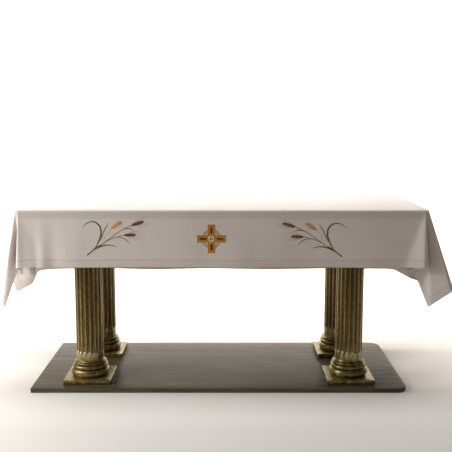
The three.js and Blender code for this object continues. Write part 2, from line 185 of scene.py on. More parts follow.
def hang_from(apex, target, drop, length):
    """Point at this drop on the cloth from apex to its fold, which lies at target at FOLD_DROP."""
    grow = drop / FOLD_DROP
    side = apex[0] + (target[0] - apex[0]) * grow
    face = apex[1] + reach_in((target[1] - apex[1]) * grow, drop)
    run = math.hypot(side - apex[0], face - apex[1])
    return [side, face, -math.sqrt(max(0.0, length * length - run * run))]


def swell(swells, at, drop, full_drop):
    grow = (drop / full_drop) ** SWELL_GROWTH
    return FLARE * drop + sum(out * grow * bell(at - place, width) for place, width, out in swells)


def ripple(along, drop, seed):
    """Slight unevenness of a hanging panel, none at the rim."""
    total = 0.0
    for length, height, shift, size in RIPPLES:
        total += size * noise.noise(Vector((along / length, drop / height, seed + shift)))
    return total * smooth(drop / RIPPLE_START)


def hanging(corner, p, q):
    """Place of a point of the flat cloth, p past the corner's centre sideways and q past it forwards."""
    if p > 0 and q > 0:
        phi = math.atan2(p, q)
        drop = max(0.0, math.hypot(p, q) - R)
        apex = (R * (math.sin(phi) - 1), R * (math.cos(phi) - 1))
        return hang_from(apex, corner.folded((R + FOLD_DROP) * phi), drop, drop)
    if p <= 0:
        distance, drop, apex = -p, q - R, (-R, 0)
        m = -distance * FOLD_DROP / drop if drop > 0 else -math.inf
        if m < -corner.start_run:
            point = [apex[0] - distance, 0.0, -drop]
        else:
            point = hang_from(apex, corner.folded(m), drop, math.hypot(distance, drop))
        x = corner.hand * (RIM_X + apex[0] - distance)
        out = swell(corner.swells, x, drop, corner.long) + ripple(x, drop, corner.facing)
        point[1] += out * smooth(distance / CALM_BY_CORNER)
        return point
    distance, drop, apex = -q, p - R, (0, -R)
    m = distance * FOLD_DROP / drop if drop > 0 else math.inf
    if m > corner.end_run:
        point = [0.0, apex[1] - distance, -drop]
    else:
        point = hang_from(apex, corner.folded(corner.fan + m), drop, math.hypot(distance, drop))
    y = corner.facing * (RIM_Y + apex[1] - distance)
    out = swell(SWELLS["side"], y, drop, corner.side) + ripple(y, drop, 3 * corner.hand)
    point[0] += out * smooth(distance / CALM_BY_CORNER)
    return point


def in_scene(corner, point):
    """A corner's own (side, face, height) as a point of the part, in millimetres."""
    side, face, z = point
    x = corner.hand * (RIM_X + side) + TABLE["shift"]
    return Vector((x, corner.facing * (RIM_Y + face), RIM_Z + z))


def cloth_frame(corner, p, q):
    """Point of the hanging cloth's middle, and its outward direction there."""
    step = 1.5

    def at(sideways, down):
        return in_scene(corner, hanging(corner, p + sideways, q + down))

    across = (at(step, 0) - at(-step, 0)).cross(at(0, step) - at(0, -step))
    return at(0, 0), (across * corner.hand * corner.facing).normalized()


FRONT_RIGHT = Corner(1, -1, FRONT_RIGHT_FOLDS)
FRONT_LEFT = Corner(-1, -1, FRONT_LEFT_FOLDS)
REAR_RIGHT = Corner(1, 1, REAR_RIGHT_FOLDS)
REAR_LEFT = Corner(-1, 1, REAR_LEFT_FOLDS)
CORNERS = [FRONT_RIGHT, FRONT_LEFT, REAR_RIGHT, REAR_LEFT]


# Meshes

def add_mesh(name, points, faces, material, scale=MM):
    mesh = bpy.data.meshes.new(name)
    mesh.from_pydata([tuple(c * scale for c in p) for p in points], [], faces)
    mesh.validate()
    mesh.polygons.foreach_set("use_smooth", [True] * len(mesh.polygons))
    mesh.materials.append(material)
    piece = bpy.data.objects.new(name, mesh)
    bpy.context.scene.collection.objects.link(piece)
    return piece


def add_values(piece, label, values):
    """One number for each point, which the material reads."""
    attribute = piece.data.attributes.new(label, "FLOAT", "POINT")
    attribute.data.foreach_set("value", values)


def stacked(name, points, around, crisp, material):
    """Closed solid of level rings of points, with crisp edges where it turns by more than crisp degrees."""
    faces = []
    for first in range(0, len(points) - around, around):
        for i in range(around):
            a, b = first + i, first + (i + 1) % around
            faces.append((a, b, b + around, a + around))
    faces.append(tuple(reversed(range(around))))
    faces.append(tuple(range(len(points) - around, len(points))))
    piece = add_mesh(name, points, faces, material)
    piece.data.set_sharp_from_angle(angle=math.radians(crisp))
    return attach(piece, "root")


# Materials

class Nodes:
    """A small helper for building a node material."""

    def __init__(self, name):
        self.material = bpy.data.materials.new(name)
        self.material.use_nodes = True
        self.tree = self.material.node_tree
        self.shader = self.tree.nodes["Principled BSDF"]

    def add(self, kind, **settings):
        node = self.tree.nodes.new(kind)
        for key, value in settings.items():
            setattr(node, key, value)
        return node

    def link(self, source, target):
        self.tree.links.new(source, target)

    def set(self, **values):
        for key, value in values.items():
            self.shader.inputs[key.replace("_", " ")].default_value = value

    def coordinates(self, attribute=None, stretch=(1, 1, 1)):
        mapping = self.add("ShaderNodeMapping")
        mapping.inputs["Scale"].default_value = stretch
        if attribute:
            source = self.add("ShaderNodeAttribute", attribute_name=attribute).outputs["Vector"]
        else:
            source = self.add("ShaderNodeTexCoord").outputs["Object"]
        self.link(source, mapping.inputs["Vector"])
        return mapping.outputs["Vector"]

    def noise(self, vector, scale, detail=3.0, roughness=0.55):
        node = self.add("ShaderNodeTexNoise")
        node.inputs["Scale"].default_value = scale
        node.inputs["Detail"].default_value = detail
        node.inputs["Roughness"].default_value = roughness
        self.link(vector, node.inputs["Vector"])
        return node.outputs["Fac"]

    def wave(self, vector, scale, direction, distortion, detail_scale):
        node = self.add("ShaderNodeTexWave", wave_type="BANDS", bands_direction=direction)
        node.inputs["Scale"].default_value = scale
        node.inputs["Distortion"].default_value = distortion
        node.inputs["Detail Scale"].default_value = detail_scale
        self.link(vector, node.inputs["Vector"])
        return node.outputs["Fac"]

    def ramp(self, factor, stops):
        node = self.add("ShaderNodeValToRGB")
        elements = node.color_ramp.elements
        while len(elements) < len(stops):
            elements.new(0.5)
        for element, (position, colour) in zip(elements, stops):
            element.position = position
            element.color = (*colour, 1)
        self.link(factor, node.inputs["Fac"])
        return node.outputs["Color"]

    def math(self, operation, a, b):
        node = self.add("ShaderNodeMath", operation=operation)
        for socket, value in zip(node.inputs, (a, b)):
            if isinstance(value, (int, float)):
                socket.default_value = value
            else:
                self.link(value, socket)
        return node.outputs["Value"]

    def blend(self, a, share, b):
        """Sum of two patterns, share of the first and the rest of the second."""
        return self.math("ADD", self.math("MULTIPLY", a, share), self.math("MULTIPLY", b, 1 - share))

    def carried(self, attribute):
        return self.add("ShaderNodeAttribute", attribute_name=attribute).outputs["Fac"]

    def mix(self, factor, a, b, blend="MIX"):
        node = self.add("ShaderNodeMix", data_type="RGBA", blend_type=blend)
        for name, value in (("Factor", factor), ("A", a), ("B", b)):
            socket = next(s for s in node.inputs if s.name == name and s.enabled)
            if isinstance(value, (int, float)):
                socket.default_value = value
            elif isinstance(value, tuple):
                socket.default_value = (*value, 1)
            else:
                self.link(value, socket)
        return next(s for s in node.outputs if s.enabled)

    def bump(self, height, strength, distance):
        node = self.add("ShaderNodeBump")
        node.inputs["Strength"].default_value = strength
        node.inputs["Distance"].default_value = distance
        self.link(height, node.inputs["Height"])
        self.link(node.outputs["Normal"], self.shader.inputs["Normal"])

    def colour(self, socket):
        self.link(socket, self.shader.inputs["Base Color"])

    def roughness(self, socket):
        self.link(socket, self.shader.inputs["Roughness"])


def linen_material():
    n = Nodes("linen_weave")
    flat = n.coordinates("flat")
    warp = n.wave(flat, 260, "X", 0.6, 30)
    weft = n.wave(flat, 260, "Y", 0.6, 30)
    slub_across = n.noise(n.coordinates("flat", (14, 520, 1)), 1.0, 2)
    slub_down = n.noise(n.coordinates("flat", (520, 14, 1)), 1.0, 2)
    slubs = n.math("ADD", slub_across, slub_down)
    clouds = n.noise(flat, 2.4, 3)
    tone = n.ramp(clouds, [(0.3, (0.765, 0.69, 0.63)), (0.7, (0.825, 0.75, 0.69))])
    threads = n.ramp(slubs, [(0.35, (0.86, 0.84, 0.81)), (0.65, (1.0, 1.0, 1.0))])
    woven = n.mix(0.55, tone, threads, "MULTIPLY")
    # Painted shade: the cloth is darkened where the attribute marks the hem, its stitch groove and the band
    # under the table edge.
    shade_and_hem_tint = n.carried("shade_and_hem_tint")
    shade_and_hem_colour = n.ramp(shade_and_hem_tint, [(0.0, (1.0, 1.0, 1.0)), (1.0, (0.50, 0.47, 0.43))])
    n.colour(n.mix(1.0, woven, shade_and_hem_colour, "MULTIPLY"))
    weave = n.math("ADD", n.math("MULTIPLY", warp, weft), n.math("MULTIPLY", slubs, 0.6))
    n.bump(weave, 0.35, 0.0004)
    n.set(Roughness=0.86, Sheen_Weight=0.12, Sheen_Roughness=0.5, Specular_IOR_Level=0.25)
    return n.material


def thread_material(name, dark, light):
    n = Nodes(name)
    place = n.coordinates()
    strands = n.noise(place, 420, 2)
    patches = n.noise(place, 30, 2)
    n.colour(n.ramp(n.blend(strands, 0.65, patches), [(0.36, dark), (0.62, light)]))
    n.bump(strands, 0.3, 0.0003)
    n.set(Roughness=0.75, Specular_IOR_Level=0.06)
    return n.material


def metal_material():
    n = Nodes("antique_brass")
    place = n.coordinates()
    streaks = n.noise(n.coordinates(stretch=(42, 42, 2.2)), 1.0, 4, 0.55)
    spots = n.noise(place, 60, 4, 0.6)
    patina = n.ramp(n.blend(streaks, 0.6, spots), [
        (0.36, (0.13, 0.090, 0.026)),
        (0.5, (0.25, 0.190, 0.060)),
        (0.64, (0.46, 0.365, 0.135)),
    ])
    # Painted shade: the flute hollows are painted darker where shade falls in them.
    painted_hollow_shade = n.ramp(n.carried("hollow"), [
        (0.05, (1.0, 1.0, 1.0)),
        (0.4, (0.62, 0.55, 0.46)),
        (0.9, (0.34, 0.26, 0.19)),
    ])
    # Painted highlight: a pale gold colour painted at the flute ends, where a highlight falls.
    painted_highlight = n.carried("painted_highlight")
    n.colour(n.mix(painted_highlight, n.mix(1.0, patina, painted_hollow_shade, "MULTIPLY"), (0.95, 0.86, 0.62)))
    n.roughness(n.math("ADD", n.math("MULTIPLY", spots, 0.25), 0.24))
    n.bump(spots, 0.08, 0.0006)
    n.set(Metallic=0.7, Coat_Weight=0.1, Coat_Roughness=0.3)
    return n.material


def wood_material(name, grain_stretch, grain_scale, grain_detail, fine_stretch, stops):
    """Nodes of a wood coloured by its figure, with the fine grain and the figure."""
    n = Nodes(name)
    grain = n.noise(n.coordinates(stretch=grain_stretch), grain_scale, grain_detail, 0.6)
    fine = n.noise(n.coordinates(stretch=fine_stretch), 1.0, 3)
    figure = n.blend(grain, 0.7, fine)
    n.colour(n.ramp(figure, stops))
    return n, fine, figure


def slab_material():
    stops = [(0.36, (0.075, 0.060, 0.034)), (0.52, (0.115, 0.096, 0.058)), (0.66, (0.17, 0.145, 0.095))]
    n, fine, figure = wood_material("lacquered_wood", (0.9, 22, 8), 1.4, 5, (5, 190, 60), stops)
    n.roughness(n.math("ADD", n.math("MULTIPLY", fine, 0.14), 0.2))
    n.bump(figure, 0.05, 0.0005)
    n.set(Specular_IOR_Level=0.04)
    return n.material


def board_material():
    stops = [(0.36, (0.10, 0.055, 0.026)), (0.64, (0.26, 0.155, 0.078))]
    n, _, figure = wood_material("table_board", (1.6, 22, 22), 2.0, 6, (9, 260, 260), stops)
    n.bump(figure, 0.2, 0.0005)
    n.set(Roughness=0.55)
    return n.material


def floor_material():
    n = Nodes("pale_floor")
    clouds = n.noise(n.coordinates(), 0.6, 2)
    n.colour(n.ramp(clouds, [(0.3, (0.85, 0.80, 0.74)), (0.7, (0.88, 0.83, 0.77))]))
    n.set(Roughness=0.9, Specular_IOR_Level=0.1)
    n.set(Emission_Color=(1.0, 0.96, 0.9, 1.0), Emission_Strength=0.08)
    return n.material


# The cloth

# Width of cloth between columns, and rows of points: even ones down to the hem, closer ones on it.
FRONT_STEP = 12.5
SIDE_STEP = 15
FAN_STEP = 7.5
BEND_ROWS = 5
BODY_ROWS = 22
BODY_GROWTH = 1.15
FAR_FROM_HEM = 1000
HEM_ROWS = [60, 52, 46.5, 44, 42.6, 41, 39.4, 37, 30, 20, 10, 4, 1.2, 0]


def hem_bulge(inset):
    """How much further out (outer, inner) the two faces stand at this distance from the hem's edge."""
    start = HEM["width"] + HEM["rise_width"] / 2
    if inset > start:
        return 0.0, 0.0
    edge = smooth((start - inset) / HEM["rise_width"])
    lip = -HEM["lip"] * (1 - smooth(inset / HEM["lip_width"]))
    stitched = HEM["groove"] * bell(inset - HEM["stitch"], HEM["groove_width"])
    return HEM["double"] / 2 * edge + lip - stitched, HEM["double"] * edge + lip - stitched / 2


# How dark the hem's double cloth is painted, and the painted shade of its stitch groove and of the band
# just under the table edge.
SHADE_AND_HEM_TINT = {
    "hem": 0.11, "hem_fade": 2, "stitch": 0.30, "stitch_width": 1.6, "edge": 0.24, "edge_drop": 44,
    "edge_fade": 12,
}


# Painted shade at a point: the hem's double cloth painted darker, painted shade along the stitch groove and
# in the band under the table edge.
def shade_and_hem_tint_at(z, inset):
    edge = 1 - smooth((CLOTH_TOP - z - SHADE_AND_HEM_TINT["edge_drop"]) / SHADE_AND_HEM_TINT["edge_fade"] + 0.5)
    hem = smooth((HEM["width"] - inset) / SHADE_AND_HEM_TINT["hem_fade"] + 0.5)
    stitch = bell(inset - HEM["stitch"], SHADE_AND_HEM_TINT["stitch_width"])
    return min(1.0, SHADE_AND_HEM_TINT["edge"] * edge + SHADE_AND_HEM_TINT["hem"] * hem + SHADE_AND_HEM_TINT["stitch"] * stitch)


class Column:
    """One line of cloth from the flat top over the edge to the hem.

    It leaves the top at apex along normal. ray gives its (p, q) at a drop, and drop_at its drop at a
    distance from the hem's edge.
    """

    def __init__(self, corner, apex, normal, ray, drop_at):
        self.corner, self.apex, self.normal, self.ray, self.drop_at = corner, apex, normal, ray, drop_at

    def rows(self):
        """(place, flat place, distance from the hem's edge) of each point."""
        for i in range(BEND_ROWS):
            angle = math.pi / 2 * i / BEND_ROWS
            inward = BEND_OUT * (1 - math.sin(angle))
            above = BEND_DOWN * math.cos(angle)
            side = self.apex[0] - self.normal[0] * inward
            face = self.apex[1] - self.normal[1] * inward
            flat = self.ray(-BEND_OUT * (1 - i / BEND_ROWS))
            yield in_scene(self.corner, (side, face, above)), flat, FAR_FROM_HEM
        body = self.drop_at(HEM_ROWS[0])
        drops = [(body * (i / BODY_ROWS) ** BODY_GROWTH, FAR_FROM_HEM) for i in range(BODY_ROWS)]
        drops += [(self.drop_at(inset), inset) for inset in HEM_ROWS]
        for drop, inset in drops:
            p, q = self.ray(drop)
            yield in_scene(self.corner, hanging(self.corner, p, q)), (p, q), inset


def fan_column(corner, phi):
    normal = (math.sin(phi), math.cos(phi))
    apex = (R * (normal[0] - 1), R * (normal[1] - 1))

    def ray(drop):
        return (R + drop) * normal[0], (R + drop) * normal[1]

    def drop_at(inset):
        along_long = (R + corner.long - inset) / max(normal[1], 1e-9)
        along_side = (R + corner.side - inset) / max(normal[0], 1e-9)
        return min(along_long, along_side) - R

    return Column(corner, apex, normal, ray, drop_at)


def long_column(corner, distance):
    return Column(
        corner, (-R - distance, 0), (0, 1),
        lambda drop: (-distance, R + drop), lambda inset: corner.long - inset,
    )


def side_column(corner, distance):
    return Column(
        corner, (0, -R - distance), (1, 0),
        lambda drop: (R + drop, -distance), lambda inset: corner.side - inset,
    )


def panel_places(half_length, step):
    count = math.ceil(half_length / step)
    return [half_length * i / count for i in range(count + 1)]


def fan_angles(corner):
    """Angles spaced by the folded cloth's own length, with the cloth's corner and its mitre among them."""
    angles = []
    for inset in (0, HEM["width"]):
        angles.append(math.atan2(R + corner.side - inset, R + corner.long - inset))
    step = FAN_STEP / (R + FOLD_DROP)
    count = int(math.pi / 2 / step)
    angles += [math.pi / 2 * (i + 0.5) / count for i in range(count)]
    angles.sort()
    return [a for i, a in enumerate(angles) if i == 0 or a - angles[i - 1] > step * 0.15]


def cloth_columns():
    """Columns all round the cloth, the first one of each panel and the width of the fan after it."""
    long_places = panel_places(RIM_X - R, FRONT_STEP)
    side_places = panel_places(RIM_Y - R, SIDE_STEP)
    runs = (
        (long_column, long_places, FRONT_LEFT, FRONT_RIGHT, 1),
        (side_column, side_places, FRONT_RIGHT, REAR_RIGHT, -1),
        (long_column, long_places, REAR_RIGHT, REAR_LEFT, 1),
        (side_column, side_places, REAR_LEFT, FRONT_LEFT, -1),
    )
    columns, starts, fans = [], [], []
    for column_of, places, here, ahead, turn in runs:
        starts.append(len(columns))
        columns += [column_of(here, d) for d in places]
        columns += [column_of(ahead, d) for d in reversed(places[:-1])]
        angles = fan_angles(ahead)[::turn]
        columns += [fan_column(ahead, phi) for phi in angles]
        fans.append(len(angles))
    return columns, starts, fans


def flat_place(corner, p, q):
    """Where a point lies in the cloth cut flat, in metres from its centre."""
    return corner.hand * (RIM_X - R + p) * MM, corner.facing * (RIM_Y - R + q) * MM, 0.0


def outward_directions(middle):
    """Outward direction at each point of the columns, straight up where they leave the flat top."""
    count, rows = len(middle), len(middle[0])
    directions = [[Vector() for _ in range(rows)] for _ in range(count)]
    for i in range(count):
        nxt = (i + 1) % count
        for j in range(rows - 1):
            falling = middle[nxt][j + 1] - middle[i][j]
            rising = middle[nxt][j] - middle[i][j + 1]
            out = falling.cross(rising).normalized()
            for c, r in ((i, j), (nxt, j), (i, j + 1), (nxt, j + 1)):
                directions[c][r] += out
    for column in directions:
        column[0] = Vector((0, 0, 1))
        for j in range(1, rows):
            column[j].normalize()
    return directions


def make_cloth(material):
    columns, (front, right, rear, left), fans = cloth_columns()
    long_count, side_count = right - front - fans[0], rear - right - fans[1]
    grid = [list(column.rows()) for column in columns]
    count, rows = len(grid), len(grid[0])
    middle = [[row[0] for row in column] for column in grid]
    directions = outward_directions(middle)

    points, flats, shade_and_hem_tint, faces = [], [], [], []
    half = CLOTH["thickness"] / 2
    layers = []
    for outer in (True, False):
        first = len(points)
        for column, aims in zip(grid, directions):
            for (place, flat, inset), aim in zip(column, aims):
                bulge = hem_bulge(inset)
                offset = half + bulge[0] if outer else -half - bulge[1]
                points.append(place + aim * offset)
                # Painted shade and hem tint for this point, read by the linen material.
                shade_and_hem_tint.append(shade_and_hem_tint_at(place.z, inset))
        for column, source in zip(grid, columns):
            flats += [flat_place(source.corner, *flat) for _, flat, _ in column]

        def side(i, j, first=first):
            return first + (i % count) * rows + j

        # Flat top: a grid whose lines run on from the columns of the four panels.
        top_z = CLOTH_TOP + (half if outer else -half)
        base = len(points)
        xs = [middle[front + i][0].x for i in range(long_count)]
        ys = [middle[right + i][0].y for i in range(side_count)]
        for y in ys:
            for x in xs:
                lift = 0.0
                if abs(y) < RIM_Y - TOP_LIFT["margin"] and abs(x) < RIM_X - TOP_LIFT["margin"]:
                    place = Vector((x / TOP_LIFT["length"], y / TOP_LIFT["length"], 3))
                    lift = TOP_LIFT["mean"] + TOP_LIFT["spread"] * noise.noise(place)
                points.append(Vector((x, y, top_z + lift)))
                flats.append((x * MM, y * MM, 0.0))
                shade_and_hem_tint.append(0.0)

        def top(i, k, base=base):
            return base + k * long_count + i

        last_x, last_y = long_count - 1, side_count - 1
        quads = []

        def join(start, ahead, beside, side=side, quads=quads):
            quads.append((side(start, 0), side(start + 1, 0), ahead, beside))

        for k in range(last_y):
            quads += [(top(i, k), top(i + 1, k), top(i + 1, k + 1), top(i, k + 1)) for i in range(last_x)]
        for i in range(last_x):
            join(front + i, top(i + 1, 0), top(i, 0))
            join(rear + i, top(last_x - i - 1, last_y), top(last_x - i, last_y))
        for k in range(last_y):
            join(right + k, top(last_x, k + 1), top(last_x, k))
            join(left + k, top(0, last_y - k - 1), top(0, last_y - k))
        ends = (
            (front + last_x, fans[0], top(last_x, 0)),
            (right + last_y, fans[1], top(last_x, last_y)),
            (rear + last_x, fans[2], top(0, last_y)),
            (left + last_y, fans[3], top(0, 0)),
        )
        for start, width, centre in ends:
            quads += [(side(start + i, 0), side(start + i + 1, 0), centre) for i in range(width + 1)]
        for i in range(count):
            for j in range(rows - 1):
                quads.append((side(i, j), side(i, j + 1), side(i + 1, j + 1), side(i + 1, j)))
        faces += quads if outer else [tuple(reversed(q)) for q in quads]
        layers.append(side)
    outer, inner = layers
    last = rows - 1
    for i in range(count):
        faces.append((outer(i, last), inner(i, last), inner(i + 1, last), outer(i + 1, last)))
    piece = add_mesh("altar_cloth", points, faces, material)
    attribute = piece.data.attributes.new("flat", "FLOAT_VECTOR", "POINT")
    attribute.data.foreach_set("vector", [c for flat in flats for c in flat])
    # Stores the painted shade and hem tint for each point.
    add_values(piece, "shade_and_hem_tint", shade_and_hem_tint)
    return piece


# Stitching

class Threads:
    """Many separate threads lying on the cloth, gathered into one mesh."""

    def __init__(self, seed):
        self.points, self.faces, self.random = [], [], random.Random(seed)

    def lay(self, line, width, rise, sink=0.15):
        """A raised strand along line, a list of (point, outward) in millimetres."""
        first = len(self.points)
        last = len(line) - 1
        along = (line[-1][0] - line[0][0]).normalized()
        for i, (point, outward) in enumerate(line):
            across = along.cross(outward).normalized()
            swell_here = math.sin(math.pi * (0.12 + 0.76 * i / last))
            self.points.append(point - across * width / 2 - outward * sink)
            self.points.append(point + outward * rise * swell_here)
            self.points.append(point + across * width / 2 - outward * sink)
        for i in range(last):
            a = first + 3 * i
            b = a + 3
            self.faces += [(a, a + 1, b + 1, b), (a + 1, a + 2, b + 2, b + 1), (a + 2, a, b, b + 2)]
        end = first + 3 * last
        self.faces += [(first, first + 2, first + 1), (end, end + 1, end + 2)]

    def piece(self, name, material):
        made = add_mesh(name, self.points, self.faces, material)
        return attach(made, "root")


def hem_path():
    """Corners with the straight runs of their hem stitches, from and to (p, q) of the flat cloth."""
    for corner in CORNERS:
        tip_p, tip_q = R + corner.side, R + corner.long
        p, q = tip_p - HEM["stitch"], tip_q - HEM["stitch"]
        yield corner, (R - RIM_X, q), (p, q)
        yield corner, (p, R - RIM_Y), (p, q)
        yield corner, (p - 2, q - 2), (tip_p - 3, tip_q - 3)


def make_hem_stitches(material):
    threads = Threads(5)
    pitch, length, width = 6.5, 4.4, 0.9
    surface = CLOTH["thickness"] / 2 + HEM["double"] / 2 - HEM["groove"]
    for corner, start, end in hem_path():
        run = math.dist(start, end)
        count = int(run / pitch)
        for i in range(count):
            line = []
            for k in range(3):
                share = ((i + 0.5) * pitch + (k / 2 - 0.5) * length) / run
                point, outward = cloth_frame(corner, *between(start, end, share))
                line.append((point + outward * surface, outward))
            threads.lay(line, width, 0.55, 0.25)
    return threads.piece("hem_stitches", material)


def on_front(x, drop):
    """cloth_frame of the front panel at x from the table's middle and drop below the cloth's top."""
    corner = FRONT_LEFT if x < 0 else FRONT_RIGHT
    return cloth_frame(corner, abs(x) + R - RIM_X, R + drop - BEND_DOWN)


def curve(points, spacing):
    """Smooth line through points (Catmull-Rom), at an even spacing."""
    guide = [points[0], *points, points[-1]]
    fine = []
    for a, b, c, d in zip(guide, guide[1:], guide[2:], guide[3:]):
        for k in range(24):
            t = k / 24
            fine.append(tuple(
                0.5 * (2 * b[n] + (c[n] - a[n]) * t + (2 * a[n] - 5 * b[n] + 4 * c[n] - d[n]) * t * t
                       + (3 * b[n] - a[n] - 3 * c[n] + d[n]) * t ** 3)
                for n in range(2)
            ))
    path = Path([*fine, tuple(points[-1])])
    count = max(2, round(path.lengths[-1] / spacing))
    return [path.at(path.lengths[-1] * k / count) for k in range(count + 1)]


# Usual distance between threads, and lengths under which a thread is left out or bends only once.
PITCH = 1.7
LEAST_THREAD = 0.8
SHORT_THREAD = 9
CLOTH_FACE = CLOTH["thickness"] / 2


def satin_thread(threads, a, b, rise, pitch=PITCH):
    """One thread of satin stitch from a to b, both (x, drop) on the front panel."""
    length = math.dist(a, b)
    if length < LEAST_THREAD:
        return
    steps = 2 if length < SHORT_THREAD else 4
    line = []
    for k in range(steps + 1):
        share = k / steps
        point, outward = on_front(*between(a, b, share))
        arch = rise * math.sin(math.pi * share)
        line.append((point + outward * (CLOTH_FACE + arch), outward))
    threads.lay(line, pitch * 1.15, 0.45)


def satin_band(threads, points, width_at, slant, rise, pitch=PITCH):
    """Satin stitch along a line: threads cross it slantwise, as long as the band is wide there."""
    line = curve(points, pitch)
    for i, (x, y) in enumerate(line):
        before, after = line[max(0, i - 1)], line[min(len(line) - 1, i + 1)]
        run = math.dist(before, after) or 1.0
        tx, ty = (after[0] - before[0]) / run, (after[1] - before[1]) / run
        half = width_at(i / (len(line) - 1)) / 2 * threads.random.uniform(0.93, 1.07)
        lean = slant * half
        a = (x - ty * half - tx * lean, y + tx * half - ty * lean)
        b = (x + ty * half + tx * lean, y - tx * half + ty * lean)
        satin_thread(threads, a, b, rise, pitch)


def leaf_width(widest, peak):
    """Width along a leaf or kernel that is widest at the share peak of its length."""
    power = math.log(0.5) / math.log(peak)
    return lambda t: widest * math.sin(math.pi * min(1, max(0.02, t)) ** power) ** 0.8


# The left spray, from its joint: (towards the middle of the altar, upwards), in millimetres.
SPRAY = {
    "joint": (-675, 205),
    "mirror": -40.5,
    "left": {"stretch": 1.02, "lower": 0},
    "right": {"stretch": 1.07, "lower": 9},
    "leaves": [
        ([(-4, -6), (18, 34), (33, 78), (28, 118), (2, 143), (-34, 140), (-64, 114)], 8.4, 0.42),
        ([(-8, -8), (36, 14), (78, 19), (118, 8)], 6.6, 0.4),
        ([(31, 46), (49, 94), (76, 143)], 4.5, 0.4),
        ([(146, 102), (176, 108), (203, 101)], 3.6, 0.5),
        ([(114, 60), (136, 60), (160, 50), (183, 24)], 3.6, 0.4),
    ],
    "stalk": [(-40, -34), (-14, -12), (6, 6), (32, 20)],
    "stems": [
        [(28, 16), (88, 62), (142, 100), (194, 126)],
        [(28, 16), (74, 47), (126, 66), (152, 72)],
    ],
    "ears": [((192, 125), (256, 145), 6), ((152, 72), (214, 74), 6)],
    "golden": ((88, 108), (143, 145), 5),
    "golden_stem": [(50, 52), (70, 84), (89, 109)],
}


def spray_place(a, h, mirrored):
    fit = SPRAY["right" if mirrored else "left"]
    x = SPRAY["joint"][0] + a * fit["stretch"]
    drop = SPRAY["joint"][1] - h + fit["lower"]
    return (2 * SPRAY["mirror"] - x if mirrored else x, drop)


def placed(path, mirrored):
    return [spray_place(*p, mirrored) for p in path]


def make_ear(kernels, awns, start, end, pairs, mirrored, awn_length):
    """Ear of wheat: paired kernels leaning off the axis, one at the tip, and awns beyond them."""
    length = math.dist(start, end)
    ux, uy = (end[0] - start[0]) / length, (end[1] - start[1]) / length

    def at(along, across):
        return start[0] + ux * along - uy * across, start[1] + uy * along + ux * across

    spacing = length / (pairs + 0.7)
    size = spacing * 1.28
    bodies = [(length - size * 0.9, 0)]
    for i in range(pairs):
        bodies += [(spacing * i, 1), (spacing * (i + 0.3), -1)]
    for along, lean in bodies:
        plump = 0.62 + 0.38 * math.sin(math.pi * min(1, (along + size * 0.5) / length))
        spread = 0.64 * size * plump * lean
        foot, middle, tip = at(along, 0), at(along + size * 0.5, spread * 0.6), at(along + size, spread)
        path = placed((foot, middle, tip), mirrored)
        satin_band(kernels, path, leaf_width(size * 0.60 * plump, 0.45), 0.7, 1.1, 1.2)
        reach = awn_length * kernels.random.uniform(0.7, 1.0)
        bow = at(along + size + reach * 0.5, spread * 1.3 + lean * reach * 0.22)
        far = at(along + size + reach, spread * 1.5 + lean * reach * 0.45)
        hair = curve(placed((tip, bow, far), mirrored), 4.0)
        for a, b in zip(hair, hair[1:]):
            satin_thread(awns, a, b, 0.1, 0.9)


def make_sprays(materials):
    sewn = [Threads(seed) for seed in range(11, 17)]
    leaves, stems, ears, awns, golden, golden_awns = sewn
    for mirrored in (False, True):
        for path, widest, peak in SPRAY["leaves"]:
            satin_band(leaves, placed(path, mirrored), leaf_width(widest, peak), 0.8, 0.9)
        satin_band(leaves, placed(SPRAY["stalk"], mirrored), lambda t: 7.0 - 2.0 * t, 0.9, 0.8)
        for path in SPRAY["stems"]:
            satin_band(stems, placed(path, mirrored), lambda t: 2.2, 1.6, 0.5)
        for start, end, pairs in SPRAY["ears"]:
            make_ear(ears, awns, start, end, pairs, mirrored, 34)
        satin_band(golden_awns, placed(SPRAY["golden_stem"], mirrored), lambda t: 1.3, 1.6, 0.4)
        start, end, pairs = SPRAY["golden"]
        make_ear(golden, golden_awns, start, end, pairs, mirrored, 18)
    names = (
        ("wheat_leaves", "leaf"), ("wheat_stems", "stem"), ("wheat_ears", "ear"), ("wheat_awns", "awn"),
        ("golden_ears", "gold"), ("golden_awns", "gold"),
    )
    return [made.piece(name, materials[look]) for made, (name, look) in zip(sewn, names)]


# The cross. bar: from, to and width on each arm; ring: outer and inner width; circles: radii.
CROSS = {
    "x": -56, "drop": 152, "reach": 75, "arm": 37, "pitch": 1.5,
    "bar": (28, 60, 10), "ring": (31, 16), "circles": (49, 40),
}


